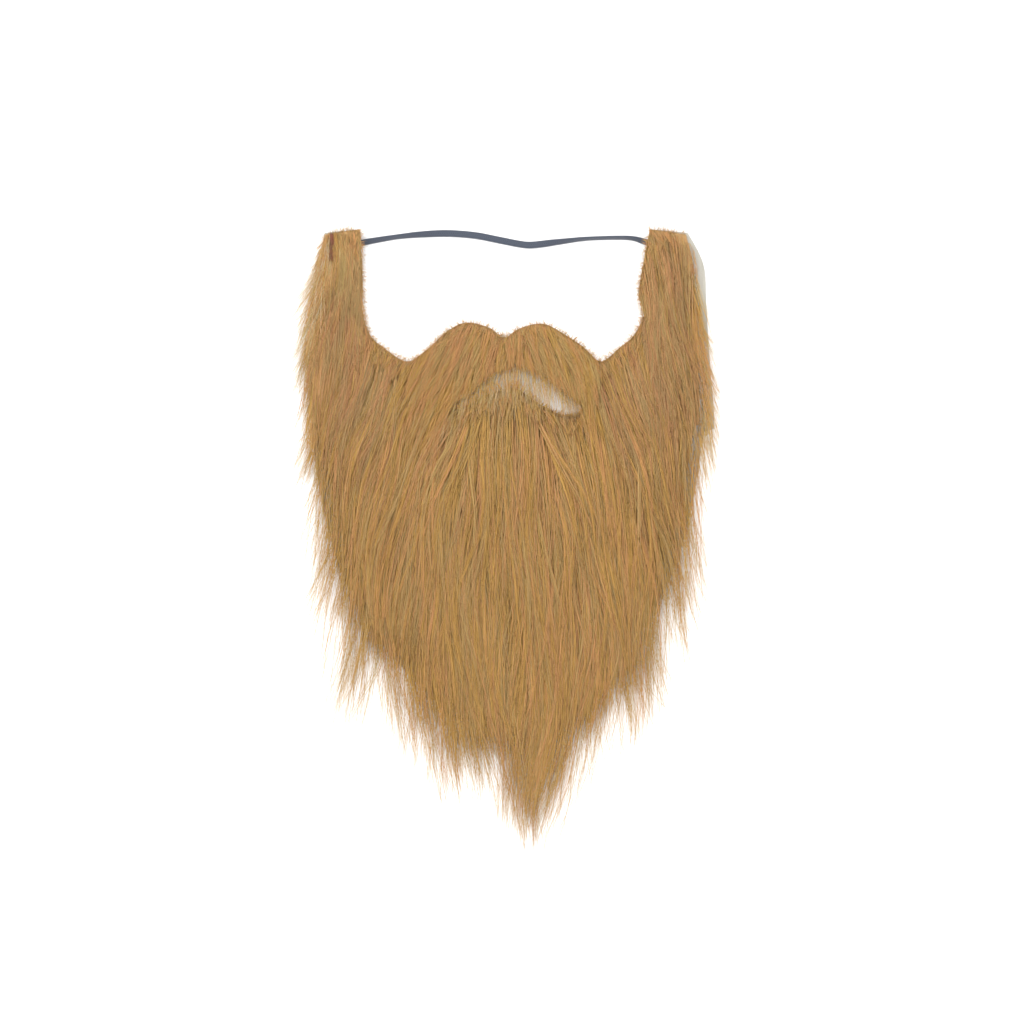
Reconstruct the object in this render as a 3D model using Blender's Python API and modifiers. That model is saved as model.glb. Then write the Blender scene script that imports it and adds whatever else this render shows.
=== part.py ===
"""A costume beard with its moustache and sideburns, lying on a table with its pile up.

One piece of long-pile plush is cut to the outline of a full beard, with a slot for the mouth.
The plush is a knitted ground cloth that carries a deep pile, combed down into locks, and a flat
elastic band is sewn behind the tops of the two sideburns.

Metres, +Z up. +Y runs up the beard to the sideburns and +X to the right as seen from above.
The ground cloth's underside, which goes against the face, lies on the table at z = 0.
"""

import math
from collections import namedtuple

import bmesh
import bpy
from mathutils import Vector
from mathutils.geometry import delaunay_2d_cdt

MM = 0.001

# Driving sizes, in millimetres
CLOTH_THICK = 1.2
CLEARANCE = 0.3
UNDERFUR_THICK = 2.6
OUTLINE_STEP = 7.0
SHEET_SPACING = 13.0
BAND_WIDTH = 3.4
BAND_THICK = 1.0
BAND_LIE = 0.1

# Outer edges of the ground cloth, in millimetres: down the sideburns, where a strip of the cloth on the
# right is bare of pile, and then round the chin
SideEdge = namedtuple("SideEdge", "height left right bare_right", defaults=(0.0,))
SIDE_EDGES = (
    SideEdge(155.5, -91.5, 90.5, 0.5),
    SideEdge(140.0, -94.5, 98.5, 5.0),
    SideEdge(120.0, -96.5, 100.0, 4.5),
    SideEdge(95.0, -98.0, 101.5, 3.0),
    SideEdge(70.0, -98.5, 103.5, 3.0),
    SideEdge(57.5, -98.0, 104.2, 3.0),
)
CHIN_EDGES = (
    SideEdge(55.5, -97.8, 98.5),
    SideEdge(35.0, -95.5, 95.5),
    SideEdge(10.0, -90.5, 91.0),
    SideEdge(-15.0, -83.0, 83.0),
    SideEdge(-40.0, -70.0, 70.0),
    SideEdge(-65.0, -50.0, 51.0),
    SideEdge(-85.0, -24.0, 28.0),
)
CHIN_POINT = (3.0, -92.0)

# Inner edges of the two sideburns
INNER_EDGES = (
    SideEdge(157.0, -73.5, 71.5),
    SideEdge(147.0, -73.0, 69.5),
    SideEdge(131.0, -72.5, 66.8),
    SideEdge(123.0, -72.5, 66.2),
    SideEdge(115.0, -72.5, 68.8),
    SideEdge(104.0, -68.5, 63.5),
)

# The edge over the cheeks and the moustache, from left to right
EdgePoint = namedtuple("EdgePoint", "across height")
FACE_EDGE = (
    EdgePoint(-62.5, 98.5),
    EdgePoint(-50.0, 91.0),
    EdgePoint(-38.5, 98.5),
    EdgePoint(-31.0, 105.5),
    EdgePoint(-21.0, 110.5),
    EdgePoint(-9.0, 108.0),
    EdgePoint(-1.5, 103.0),
    EdgePoint(6.0, 107.5),
    EdgePoint(18.0, 110.0),
    EdgePoint(29.0, 104.5),
    EdgePoint(38.0, 98.5),
    EdgePoint(47.0, 91.0),
    EdgePoint(57.0, 98.5),
)

# The crescent cut out for the mouth
SlotSection = namedtuple("SlotSection", "across lower upper")
MOUTH_SLOT = (
    SlotSection(-20.0, 69.0, 77.0),
    SlotSection(-8.0, 75.0, 85.5),
    SlotSection(4.0, 77.0, 89.5),
    SlotSection(16.0, 70.0, 87.0),
    SlotSection(26.0, 65.0, 80.0),
    SlotSection(34.0, 65.0, 73.0),
)
SLOT_LEFT_END = (-28.0, 68.5)
SLOT_RIGHT_END = (38.0, 68.0)

# Which way the pile is combed: degrees from straight down, positive to the right, at five places across
Combing = namedtuple("Combing", "height far_left left middle right far_right")
COMBING_ACROSS = (-100.0, -45.0, 0.0, 45.0, 100.0)
COMBING = (
    Combing(150.0, -3.0, -3.0, 0.0, 4.0, 7.0),
    Combing(110.0, -4.0, -8.0, 0.0, 8.0, 11.0),
    Combing(70.0, -7.0, -20.0, 0.0, 17.0, 8.0),
    Combing(40.0, -9.0, -16.0, -2.0, 12.0, 4.0),
    Combing(0.0, -8.0, -9.0, 0.0, 8.0, 4.0),
    Combing(-40.0, -6.0, -5.0, 0.0, 4.0, 3.0),
    Combing(-80.0, -3.0, -2.0, 1.0, 2.0, -4.0),
    Combing(-120.0, 4.0, 2.0, -2.0, -4.0, -10.0),
)

# How high the top of the pile stands over the table along the middle, and its height over the cloth's edge
PileHeight = namedtuple("PileHeight", "height crown rim")
PILE_HEIGHTS = (
    PileHeight(157.0, 6.0, 5.0),
    PileHeight(120.0, 7.5, 5.5),
    PileHeight(100.0, 7.0, 5.5),
    PileHeight(60.0, 9.5, 6.5),
    PileHeight(0.0, 11.5, 7.0),
    PileHeight(-60.0, 11.0, 7.0),
    PileHeight(-92.0, 9.0, 6.5),
)
RIM_REACH = 22.0
FRINGE_FALL = 55.0
FRINGE_TIP_HEIGHT = 1.2

# Rows of locks over the face of the beard: roots evenly spaced from left to right at each height
LockRow = namedtuple("LockRow", "height left right count length width")
LOCK_ROWS = (
    LockRow(145.0, -86.0, -80.0, 2, 44.0, 12.0),
    LockRow(145.0, 76.5, 85.0, 2, 44.0, 12.0),
    LockRow(112.0, -90.0, -80.5, 2, 52.0, 14.0),
    LockRow(112.0, 75.5, 89.0, 2, 52.0, 14.0),
    LockRow(84.0, -78.0, -60.0, 2, 56.0, 16.0),
    LockRow(84.0, 62.0, 80.0, 2, 56.0, 16.0),
    LockRow(70.0, -6.0, 12.0, 2, 44.0, 15.0),
    LockRow(60.0, -76.0, 76.0, 9, 60.0, 19.0),
    LockRow(31.0, -80.0, 80.0, 8, 62.0, 22.0),
    LockRow(2.0, -70.0, 72.0, 7, 62.0, 22.0),
    LockRow(-27.0, -56.0, 58.0, 6, 62.0, 21.0),
    LockRow(-54.0, -34.0, 42.0, 4, 60.0, 20.0),
)

# Locks that are placed one by one: those of the moustache, and the tufts that make the outline
Lock = namedtuple("Lock", "root_across root_height tip_across tip_height width")
MOUSTACHE_LOCKS = (
    Lock(-8.0, 101.5, -10.0, 88.0, 11.0),
    Lock(-19.0, 105.0, -24.0, 84.0, 13.0),
    Lock(-29.0, 101.0, -39.0, 64.0, 14.0),
    Lock(-42.0, 86.5, -55.0, 46.0, 15.0),
    Lock(8.0, 102.0, 9.5, 91.0, 11.0),
    Lock(19.0, 105.0, 23.0, 86.0, 13.0),
    Lock(30.0, 100.0, 42.0, 62.0, 14.0),
    Lock(44.0, 86.0, 57.0, 48.0, 15.0),
)
LEFT_TUFTS = (
    Lock(-92.0, 142.0, -97.0, 104.0, 10.0),
    Lock(-93.0, 110.0, -104.0, 67.0, 11.0),
    Lock(-91.5, 76.0, -102.0, 38.0, 12.0),
    Lock(-87.5, 48.0, -98.0, 9.0, 13.0),
    Lock(-82.0, 25.0, -94.5, -18.0, 14.0),
    Lock(-76.0, -4.0, -88.0, -48.0, 14.0),
    Lock(-69.0, -20.0, -82.0, -77.0, 15.0),
    Lock(-60.0, -28.0, -68.5, -71.0, 13.0),
)
LOWER_TUFTS = (
    Lock(-49.0, -38.0, -55.5, -87.0, 15.0),
    Lock(-38.0, -50.0, -42.5, -103.0, 15.0),
    Lock(-26.0, -62.0, -30.5, -124.0, 16.0),
    Lock(-14.0, -66.0, -15.5, -125.0, 15.0),
    Lock(5.0, -72.0, 8.0, -157.0, 18.0),
    Lock(14.0, -72.0, 13.0, -148.0, 19.0),
    Lock(24.0, -68.0, 20.0, -139.0, 17.0),
    Lock(34.0, -60.0, 37.0, -103.0, 14.0),
)
RIGHT_TUFTS = (
    Lock(43.0, -52.0, 47.5, -102.0, 14.0),
    Lock(54.0, -42.0, 60.0, -88.0, 14.0),
    Lock(64.0, -28.0, 71.0, -71.0, 14.0),
    Lock(74.0, -14.0, 83.5, -57.0, 13.0),
    Lock(81.0, 4.0, 91.5, -36.0, 13.0),
    Lock(86.0, 30.0, 94.5, -10.0, 12.0),
    Lock(89.5, 56.0, 97.0, 14.0, 12.0),
    Lock(92.0, 86.0, 100.0, 38.0, 11.0),
)
LOCK_THICKNESS_SHARE = 0.33
LOCK_SIDES = 6

# A lock's size along its length, as a share of its full width and thickness
LockSection = namedtuple("LockSection", "along size")
LOCK_SECTIONS = (
    LockSection(0.0, 0.55),
    LockSection(0.2, 0.92),
    LockSection(0.45, 1.0),
    LockSection(0.7, 0.74),
    LockSection(0.88, 0.40),
    LockSection(1.0, 0.06),
)

# The elastic band's line on the table, and how far it is turned up on its edge
BandPoint = namedtuple("BandPoint", "across height turn")
BAND_ROUTE = (
    BandPoint(-83.0, 149.6, 0.0),
    BandPoint(-77.0, 149.9, 8.0),
    BandPoint(-72.0, 150.8, 34.0),
    BandPoint(-64.0, 152.2, 46.0),
    BandPoint(-54.0, 153.7, 54.0),
    BandPoint(-42.0, 154.9, 32.0),
    BandPoint(-29.0, 155.4, 4.0),
    BandPoint(-16.0, 154.4, 0.0),
    BandPoint(-5.0, 152.3, 0.0),
    BandPoint(5.0, 150.3, 0.0),
    BandPoint(10.5, 149.6, 0.0),
    BandPoint(16.0, 149.9, 6.0),
    BandPoint(27.0, 151.2, 44.0),
    BandPoint(40.0, 152.6, 66.0),
    BandPoint(55.0, 153.1, 66.0),
    BandPoint(63.0, 152.8, 60.0),
    BandPoint(69.0, 151.2, 38.0),
    BandPoint(74.0, 149.8, 10.0),
    BandPoint(80.0, 149.2, 0.0),
)
BAND_STEP = 4.0

# Where a sideburn's inner top corner is lifted over the band: at its edge and at its sewn end
BandLift = namedtuple("BandLift", "across height rise")
BAND_LIFTS = (
    BandLift(-71.0, 150.4, 3.6),
    BandLift(-82.0, 149.6, 1.8),
    BandLift(68.0, 151.0, 3.6),
    BandLift(79.0, 149.2, 1.8),
)
LIFT_RADIUS = 9.5


def through(points, step, closed=False):
    """A smooth Catmull-Rom line through the points, with a point about every step millimetres."""
    spots = [Vector(p) for p in points]
    count = len(spots)
    line = []
    for i in range(count if closed else count - 1):
        if closed:
            before, start, end, after = (spots[(i + k) % count] for k in (-1, 0, 1, 2))
        else:
            before, start = spots[max(i - 1, 0)], spots[i]
            end, after = spots[i + 1], spots[min(i + 2, count - 1)]
        pieces = max(1, round((end - start).length / step))
        for k in range(pieces):
            t = k / pieces
            line.append(
                start
                + 0.5 * t * (end - before)
                + t * t * (before - 2.5 * start + 2.0 * end - 0.5 * after)
                + t * t * t * (1.5 * (start - end) + 0.5 * (after - before))
            )
    if not closed:
        line.append(spots[-1])
    return line


def cloth_outline(step, bare_share=0.0):
    """The cloth's edge, anticlockwise from the top of the left sideburn, less a share of its bare strip."""
    left_side = [(e.left, e.height) for e in SIDE_EDGES + CHIN_EDGES]
    right_chin = [(e.right, e.height) for e in reversed(CHIN_EDGES)]
    right_side = [(e.right - bare_share * e.bare_right, e.height) for e in reversed(SIDE_EDGES)]
    right_inner = [(e.right, e.height) for e in INNER_EDGES]
    left_inner = [(e.left, e.height) for e in reversed(INNER_EDGES)]
    stretches = (
        left_side + [CHIN_POINT] + right_chin,
        right_side,
        right_inner + [tuple(p) for p in reversed(FACE_EDGE)] + left_inner,
    )
    return [point for stretch in stretches for point in through(stretch, step)]


def slot_outline(step):
    """The mouth slot's edge: its upper side from left to right and back along its lower side."""
    upper = [(s.across, s.upper) for s in MOUTH_SLOT]
    lower = [(s.across, s.lower) for s in reversed(MOUTH_SLOT)]
    return through([SLOT_LEFT_END] + upper + [SLOT_RIGHT_END] + lower, step, closed=True)


def is_inside(point, outline):
    """True where a line from the point to the right crosses the outline an odd number of times."""
    x, y = point
    inside = False
    for a, b in zip(outline, outline[1:] + outline[:1]):
        if (a.y > y) != (b.y > y) and x < a.x + (y - a.y) / (b.y - a.y) * (b.x - a.x):
            inside = not inside
    return inside


def distance_to(point, outline):
    """The shortest distance from the point to the closed outline."""
    nearest = math.inf
    for a, b in zip(outline, outline[1:] + outline[:1]):
        side = b - a
        share = max(0.0, min(1.0, (point - a).dot(side) / max(side.length_squared, 1e-9)))
        nearest = min(nearest, (point - a - share * side).length)
    return nearest


def between_rows(rows, height, column):
    """A column of a table read at a height between its rows, which run from high to low."""
    if height >= rows[0].height:
        return getattr(rows[0], column)
    for above, below in zip(rows, rows[1:]):
        if height >= below.height:
            share = (above.height - height) / (above.height - below.height)
            return getattr(above, column) * (1 - share) + getattr(below, column) * share
    return getattr(rows[-1], column)


def combed(x, y):
    """The direction in which the pile is combed at a place, as a unit vector on the table."""
    columns = Combing._fields[1:]
    leans = [between_rows(COMBING, y, column) for column in columns]
    x = max(COMBING_ACROSS[0], min(COMBING_ACROSS[-1], x))
    for k in range(len(columns) - 1):
        start, end = COMBING_ACROSS[k], COMBING_ACROSS[k + 1]
        if x <= end:
            share = (x - start) / (end - start)
            lean = math.radians(leans[k] * (1 - share) + leans[k + 1] * share)
            return Vector((math.sin(lean), -math.cos(lean)))


def cloth_rise(x, y):
    """How far the ground cloth is lifted off the table, over the two ends of the elastic band."""
    rise = 0.0
    for lift in BAND_LIFTS:
        away = math.hypot(x - lift.across, y - lift.height) / LIFT_RADIUS
        if away < 2.0:
            rise = max(rise, lift.rise * 0.5 * (1 + math.cos(math.pi * away / 2.0)))
    return rise


CLOTH_EDGE = cloth_outline(OUTLINE_STEP)
SLOT_EDGE = slot_outline(OUTLINE_STEP)


def past_edge(point):
    """How far the point is outside the ground cloth's outline, below 0 where it is inside."""
    away = distance_to(point, CLOTH_EDGE)
    return -away if is_inside(point, CLOTH_EDGE) else away


def pile_top(point):
    """The height of the pile's top: crowned over the cloth and falling to the table along the fringe."""
    outside = past_edge(point)
    crown = between_rows(PILE_HEIGHTS, point.y, "crown")
    rim = between_rows(PILE_HEIGHTS, point.y, "rim")
    if outside < 0:
        inward = min(1.0, -outside / RIM_REACH)
        return rim + (crown - rim) * math.sin(inward * math.pi / 2)
    fall = min(1.0, outside / FRINGE_FALL)
    return rim + (FRINGE_TIP_HEIGHT - rim) * fall


def ground_under(point):
    """The least height of the pile's underside: over the cloth, and just over the table past its edge."""
    over_cloth = CLOTH_THICK + CLEARANCE + cloth_rise(*point)
    share = max(0.0, min(1.0, (past_edge(point) - 9.0) / 12.0))
    return over_cloth + (CLEARANCE - over_cloth) * share


def lay_open_sheet(name, outline, holes, base):
    """An open surface inside the outline and outside the holes, at the base height plus the cloth's rise."""
    loops = [outline] + holes
    points = [p for loop in loops for p in loop]
    edges = []
    first = 0
    for loop in loops:
        count = len(loop)
        edges += [(first + i, first + (i + 1) % count) for i in range(count)]
        first += count
    low_x, high_x = min(p.x for p in outline), max(p.x for p in outline)
    low_y, high_y = min(p.y for p in outline), max(p.y for p in outline)
    for row in range(1, int((high_y - low_y) / SHEET_SPACING) + 1):
        for column in range(int((high_x - low_x) / SHEET_SPACING) + 1):
            shift = 0.5 * (row % 2)
            spot = Vector((low_x + (column + shift) * SHEET_SPACING, low_y + row * SHEET_SPACING))
            clear = min(distance_to(spot, loop) for loop in loops)
            in_hole = any(is_inside(spot, hole) for hole in holes)
            if is_inside(spot, outline) and not in_hole and clear > 0.45 * SHEET_SPACING:
                points.append(spot)
    placed, _, faces, *_ = delaunay_2d_cdt(points, edges, [], 1, 1e-6)
    middles = [sum((placed[i] for i in face), Vector((0.0, 0.0))) / len(face) for face in faces]
    faces = [f for f, m in zip(faces, middles) if not any(is_inside(m, hole) for hole in holes)]
    mesh = bpy.data.meshes.new(name)
    heights = [base + cloth_rise(p.x, p.y) for p in placed]
    mesh.from_pydata([(p.x * MM, p.y * MM, z * MM) for p, z in zip(placed, heights)], [], faces)
    return mesh


def thickened(name, mesh, thickness, collection):
    """The open surface as an object with its upper side built up by Solidify."""
    sheet = bpy.data.objects.new(name, mesh)
    collection.objects.link(sheet)
    solidify = sheet.modifiers.new("thickness", "SOLIDIFY")
    solidify.thickness = thickness * MM
    solidify.offset = 1.0
    return sheet


def material(name, colour, roughness):
    """A plain Principled material."""
    made = bpy.data.materials.new(name)
    made.use_nodes = True
    shader = made.node_tree.nodes["Principled BSDF"]
    shader.inputs["Base Color"].default_value = (*colour, 1.0)
    shader.inputs["Roughness"].default_value = roughness
    return made


def profile_curve(name, width, thickness, sides, collection):
    """A closed flat outline with rounded sides, kept as the section that a curve is swept with."""
    data = bpy.data.curves.new(name, "CURVE")
    data.dimensions = "2D"
    data.fill_mode = "NONE"
    spline = data.splines.new("POLY")
    spline.points.add(sides - 1)
    for i, point in enumerate(spline.points):
        turn = 2 * math.pi * (i + 0.5) / sides
        # Cosines flattened towards the ends keep the section full rather than diamond-shaped.
        reach = math.copysign(abs(math.cos(turn)) ** 0.7, math.cos(turn))
        lift = math.copysign(abs(math.sin(turn)) ** 0.7, math.sin(turn))
        point.co = (0.5 * width * MM * reach, 0.5 * thickness * MM * lift, 0.0, 1.0)
    spline.use_cyclic_u = True
    profile = bpy.data.objects.new(name, data)
    profile.hide_render = True
    collection.objects.link(profile)
    return profile


def swept_curve(name, profile, collection):
    """An empty 3D curve that is swept with the profile, its width kept level."""
    data = bpy.data.curves.new(name, "CURVE")
    data.dimensions = "3D"
    data.twist_mode = "Z_UP"
    data.bevel_mode = "OBJECT"
    data.bevel_object = profile
    data.use_fill_caps = True
    curve = bpy.data.objects.new(name, data)
    collection.objects.link(curve)
    return curve


def mesh_from_curve(curve, collection):
    """The curve as a mesh object with its caps welded; the curve is removed."""
    bpy.context.view_layer.update()
    evaluated = curve.evaluated_get(bpy.context.evaluated_depsgraph_get())
    mesh = bpy.data.meshes.new_from_object(evaluated)
    work = bmesh.new()
    work.from_mesh(mesh)
    bmesh.ops.remove_doubles(work, verts=work.verts, dist=1e-6)
    bmesh.ops.recalc_face_normals(work, faces=work.faces)
    work.to_mesh(mesh)
    work.free()
    name = curve.name
    bpy.data.objects.remove(curve)
    solid = bpy.data.objects.new(name, mesh)
    collection.objects.link(solid)
    return solid


def lock_line(lock):
    """A placed lock's line from root to tip, leaving its root the way that the pile is combed there."""
    root = Vector((lock.root_across, lock.root_height))
    tip = Vector((lock.tip_across, lock.tip_height))
    handle = root + combed(*root) * (tip - root).length * 0.5
    stations = [section.along for section in LOCK_SECTIONS]
    return [(1 - t) ** 2 * root + 2 * t * (1 - t) * handle + t * t * tip for t in stations]


def row_locks(row, odd):
    """The lines of one row's locks: each follows the combing, and neighbours differ a little in length."""
    lines = []
    for k in range(row.count):
        share = k / (row.count - 1)
        swing = math.sin(2.4 * k + row.height)
        root = Vector((row.left + share * (row.right - row.left), row.height + 5.0 * swing))
        length = row.length * (1.0 + 0.12 * math.cos(1.7 * k + odd))
        line = [root]
        for before, after in zip(LOCK_SECTIONS, LOCK_SECTIONS[1:]):
            step = (after.along - before.along) * length
            line.append(line[-1] + combed(*line[-1]) * step)
        lines.append(line)
    return lines


def add_lock(curve, line, width):
    """Adds one tapered lock to the curve, resting on what is under it and level with the pile's top."""
    spline = curve.data.splines.new("POLY")
    spline.points.add(len(line) - 1)
    thickness = width * LOCK_THICKNESS_SHARE
    for point, spot, section in zip(spline.points, line, LOCK_SECTIONS):
        half = 0.5 * thickness * section.size
        sunk = 1.2 * max(0.0, 1.0 - section.along / 0.2)
        sideways = Vector((0.5 * width * section.size, 0.0))
        ground = max(ground_under(spot + k * sideways) for k in (-1, -0.5, 0, 0.5, 1))
        height = max(pile_top(spot) - half - sunk, ground + half)
        point.co = (spot.x * MM, spot.y * MM, height * MM, 1.0)
        point.radius = width * section.size


def make_ground_cloth(collection):
    """The knitted ground cloth, cut to the beard's outline with the mouth slot in it."""
    mesh = lay_open_sheet("backing_cloth", CLOTH_EDGE, [SLOT_EDGE], 0.0)
    cloth = thickened("backing_cloth", mesh, CLOTH_THICK, collection)
    cloth.data.materials.append(material("knit_ground", (0.62, 0.60, 0.55), 0.9))
    return cloth


def make_pile(collection, cutters):
    """The pile: underfur all over the cloth, with the locks fused to it and the mouth slot cut clear."""
    base = CLOTH_THICK + CLEARANCE
    pile_edge = cloth_outline(OUTLINE_STEP, bare_share=1.0)
    mesh = lay_open_sheet("fur_pile", pile_edge, [SLOT_EDGE], base)
    pile = thickened("fur_pile", mesh, UNDERFUR_THICK, collection)
    profile = profile_curve("lock_section", 1.0, LOCK_THICKNESS_SHARE, LOCK_SIDES, cutters)
    curve = swept_curve("locks", profile, cutters)
    for odd, row in enumerate(LOCK_ROWS):
        for line in row_locks(row, odd):
            add_lock(curve, line, row.width)
    for lock in MOUSTACHE_LOCKS + LEFT_TUFTS + LOWER_TUFTS + RIGHT_TUFTS:
        add_lock(curve, lock_line(lock), lock.width)
    locks = mesh_from_curve(curve, cutters)
    locks.hide_render = True
    locks.display_type = "WIRE"
    fuse = pile.modifiers.new("fuse_locks", "BOOLEAN")
    fuse.operation = "UNION"
    fuse.object = locks
    fuse.use_self = True
    slot = slot_cutter(cutters)
    clear_slot = pile.modifiers.new("clear_mouth_slot", "BOOLEAN")
    clear_slot.operation = "DIFFERENCE"
    clear_slot.object = slot
    fill_sealed_gaps(pile)
    pile.data.materials.append(material("tan_pile", (0.41, 0.23, 0.09), 0.6))
    return pile


def fill_sealed_gaps(pile):
    """Applies the modifiers and keeps the outer shell alone, so small gaps sealed under locks are solid."""
    bpy.context.view_layer.update()
    evaluated = pile.evaluated_get(bpy.context.evaluated_depsgraph_get())
    work = bmesh.new()
    work.from_mesh(evaluated.to_mesh())
    outer = {max(work.verts, key=lambda v: v.co.z)}
    front = list(outer)
    while front:
        neighbours = {e.other_vert(v) for v in front for e in v.link_edges}
        front = neighbours - outer
        outer |= front
    bmesh.ops.delete(work, geom=[v for v in work.verts if v not in outer], context="VERTS")
    pile.modifiers.clear()
    work.to_mesh(pile.data)
    work.free()


def slot_cutter(cutters):
    """A prism through the pile over the mouth slot, a little wider than the slot in the cloth."""
    middle = sum(SLOT_EDGE, Vector((0.0, 0.0))) / len(SLOT_EDGE)
    ring = [middle + (p - middle) * (1.0 + 0.6 / (p - middle).length) for p in SLOT_EDGE]
    work = bmesh.new()
    floor = work.faces.new([work.verts.new((p.x * MM, p.y * MM, -5 * MM)) for p in ring])
    grown = bmesh.ops.extrude_face_region(work, geom=[floor])["geom"]
    top = [v for v in grown if isinstance(v, bmesh.types.BMVert)]
    bmesh.ops.translate(work, verts=top, vec=(0.0, 0.0, 40 * MM))
    bmesh.ops.recalc_face_normals(work, faces=work.faces)
    mesh = bpy.data.meshes.new("slot_cutter")
    work.to_mesh(mesh)
    work.free()
    cutter = bpy.data.objects.new("slot_cutter", mesh)
    cutter.hide_render = True
    cutter.display_type = "WIRE"
    cutters.objects.link(cutter)
    return cutter


def make_elastic_band(collection, cutters):
    """The flat elastic band, lying on the table between the sideburns and turning up on its edge near them."""
    profile = profile_curve("band_section", BAND_WIDTH, BAND_THICK, 6, cutters)
    curve = swept_curve("elastic_band", profile, collection)
    line = through([(p.across, p.height, p.turn) for p in BAND_ROUTE], BAND_STEP)
    spline = curve.data.splines.new("POLY")
    spline.points.add(len(line) - 1)
    for point, (x, y, turn) in zip(spline.points, line):
        turn = math.radians(max(0.0, turn))
        half_height = 0.5 * (BAND_WIDTH * math.sin(turn) + BAND_THICK * math.cos(turn))
        point.co = (x * MM, y * MM, (BAND_LIE + half_height) * MM, 1.0)
        point.tilt = turn
    band = mesh_from_curve(curve, collection)
    band.name = "elastic_band"
    band.data.materials.append(material("navy_elastic", (0.045, 0.055, 0.08), 0.75))
    return band


def main():
    for obj in list(bpy.data.objects):
        bpy.data.objects.remove(obj)
    beard = bpy.data.collections.new("fake_beard")
    cutters = bpy.data.collections.new("cutters_and_sections")
    bpy.context.scene.collection.children.link(beard)
    bpy.context.scene.collection.children.link(cutters)
    make_ground_cloth(beard)
    make_pile(beard, cutters)
    make_elastic_band(beard, cutters)


main()
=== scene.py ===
"""A fake beard of long-pile plush with an elastic band, lying on a white table, seen from straight above."""

import math

import bpy
import numpy as np
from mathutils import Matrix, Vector
from mathutils.geometry import delaunay_2d_cdt


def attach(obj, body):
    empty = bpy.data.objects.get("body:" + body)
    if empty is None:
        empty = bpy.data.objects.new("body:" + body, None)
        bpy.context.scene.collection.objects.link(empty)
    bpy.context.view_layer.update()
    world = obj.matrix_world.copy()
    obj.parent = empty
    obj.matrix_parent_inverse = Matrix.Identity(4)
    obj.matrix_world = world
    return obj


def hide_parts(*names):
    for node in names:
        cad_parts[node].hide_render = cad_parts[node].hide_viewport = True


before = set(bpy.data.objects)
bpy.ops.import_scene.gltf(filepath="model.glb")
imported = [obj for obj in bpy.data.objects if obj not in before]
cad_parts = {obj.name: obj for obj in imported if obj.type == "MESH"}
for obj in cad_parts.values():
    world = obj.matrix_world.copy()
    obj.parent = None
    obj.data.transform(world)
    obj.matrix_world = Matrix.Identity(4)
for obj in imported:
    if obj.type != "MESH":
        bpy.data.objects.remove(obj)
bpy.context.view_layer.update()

# The table top, the light over it and the camera: a white board under a pale studio sky with one broad
# lamp, seen from straight above through a long lens. At the pile's middle height half a millimetre is one
# pixel wide.
PIXEL = 0.0005
PICTURE_PIXELS = 1024
PICTURE_CENTRE = (0.0025, 0.0155)
PILE_MIDDLE = 0.006
LENS = 85.0
SENSOR = 36.0
TABLE_HALF = 3.0
TABLE_HEIGHT = -0.0003
LAMP_PLACE = (-0.45, 0.55, 1.15)

board = bpy.data.meshes.new("table_top")
quarters = ((-1, -1), (1, -1), (1, 1), (-1, 1))
board.from_pydata([(TABLE_HALF * x, TABLE_HALF * y, TABLE_HEIGHT) for x, y in quarters], [], [(0, 1, 2, 3)])
table_top = bpy.data.objects.new("table_top", board)
bpy.context.scene.collection.objects.link(table_top)
white_board = bpy.data.materials.new("white_board")
white_board.use_nodes = True
white_board.node_tree.nodes["Principled BSDF"].inputs["Base Color"].default_value = (0.90, 0.90, 0.90, 1.0)
white_board.node_tree.nodes["Principled BSDF"].inputs["Roughness"].default_value = 0.9
board.materials.append(white_board)

sky = bpy.data.worlds.new("studio_sky")
sky.use_nodes = True
sky.node_tree.nodes["Background"].inputs["Color"].default_value = (1.0, 1.0, 1.0, 1.0)
sky.node_tree.nodes["Background"].inputs["Strength"].default_value = 1.5
bpy.context.scene.world = sky

lamp_data = bpy.data.lights.new("soft_lamp", "AREA")
lamp_data.shape = "SQUARE"
lamp_data.size = 0.9
lamp_data.energy = 10.0
soft_lamp = bpy.data.objects.new("soft_lamp", lamp_data)
soft_lamp.location = LAMP_PLACE
soft_lamp.rotation_euler = (-soft_lamp.location).to_track_quat("-Z", "Y").to_euler()
bpy.context.scene.collection.objects.link(soft_lamp)

camera_data = bpy.data.cameras.new("camera_above")
camera_data.lens = LENS
camera_data.sensor_width = SENSOR
camera = bpy.data.objects.new("camera_above", camera_data)
camera.location = (*PICTURE_CENTRE, PILE_MIDDLE + PICTURE_PIXELS * PIXEL * LENS / SENSOR)
bpy.context.scene.collection.objects.link(camera)
bpy.context.scene.camera = camera
bpy.context.scene.view_settings.view_transform = "Standard"

# The elastic band: a flat braid of dark yarn over rubber threads, cut to length and sewn behind the tops
# of the two sideburns. It lies on the table, flat in its middle and turned up on its edge near its ends.
BAND_WIDTH = 3.4
BAND_THICK = 1.0
BAND_LIE = 0.1
BAND_STATIONS = 320
# across, height, turn in degrees
BAND_ROUTE = (
    (-83.0, 149.6, 0.0), (-77.0, 149.9, 8.0), (-72.0, 150.8, 34.0), (-64.0, 152.2, 46.0),
    (-54.0, 153.7, 54.0), (-42.0, 154.9, 32.0), (-29.0, 155.4, 4.0), (-16.0, 154.4, 0.0),
    (-5.0, 152.3, 0.0), (5.0, 150.3, 0.0), (10.5, 149.6, 0.0), (16.0, 149.9, 6.0),
    (27.0, 151.2, 44.0), (40.0, 152.6, 66.0), (55.0, 153.1, 66.0), (63.0, 152.8, 60.0),
    (69.0, 151.2, 38.0), (74.0, 149.8, 10.0), (80.0, 149.2, 0.0),
)


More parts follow.
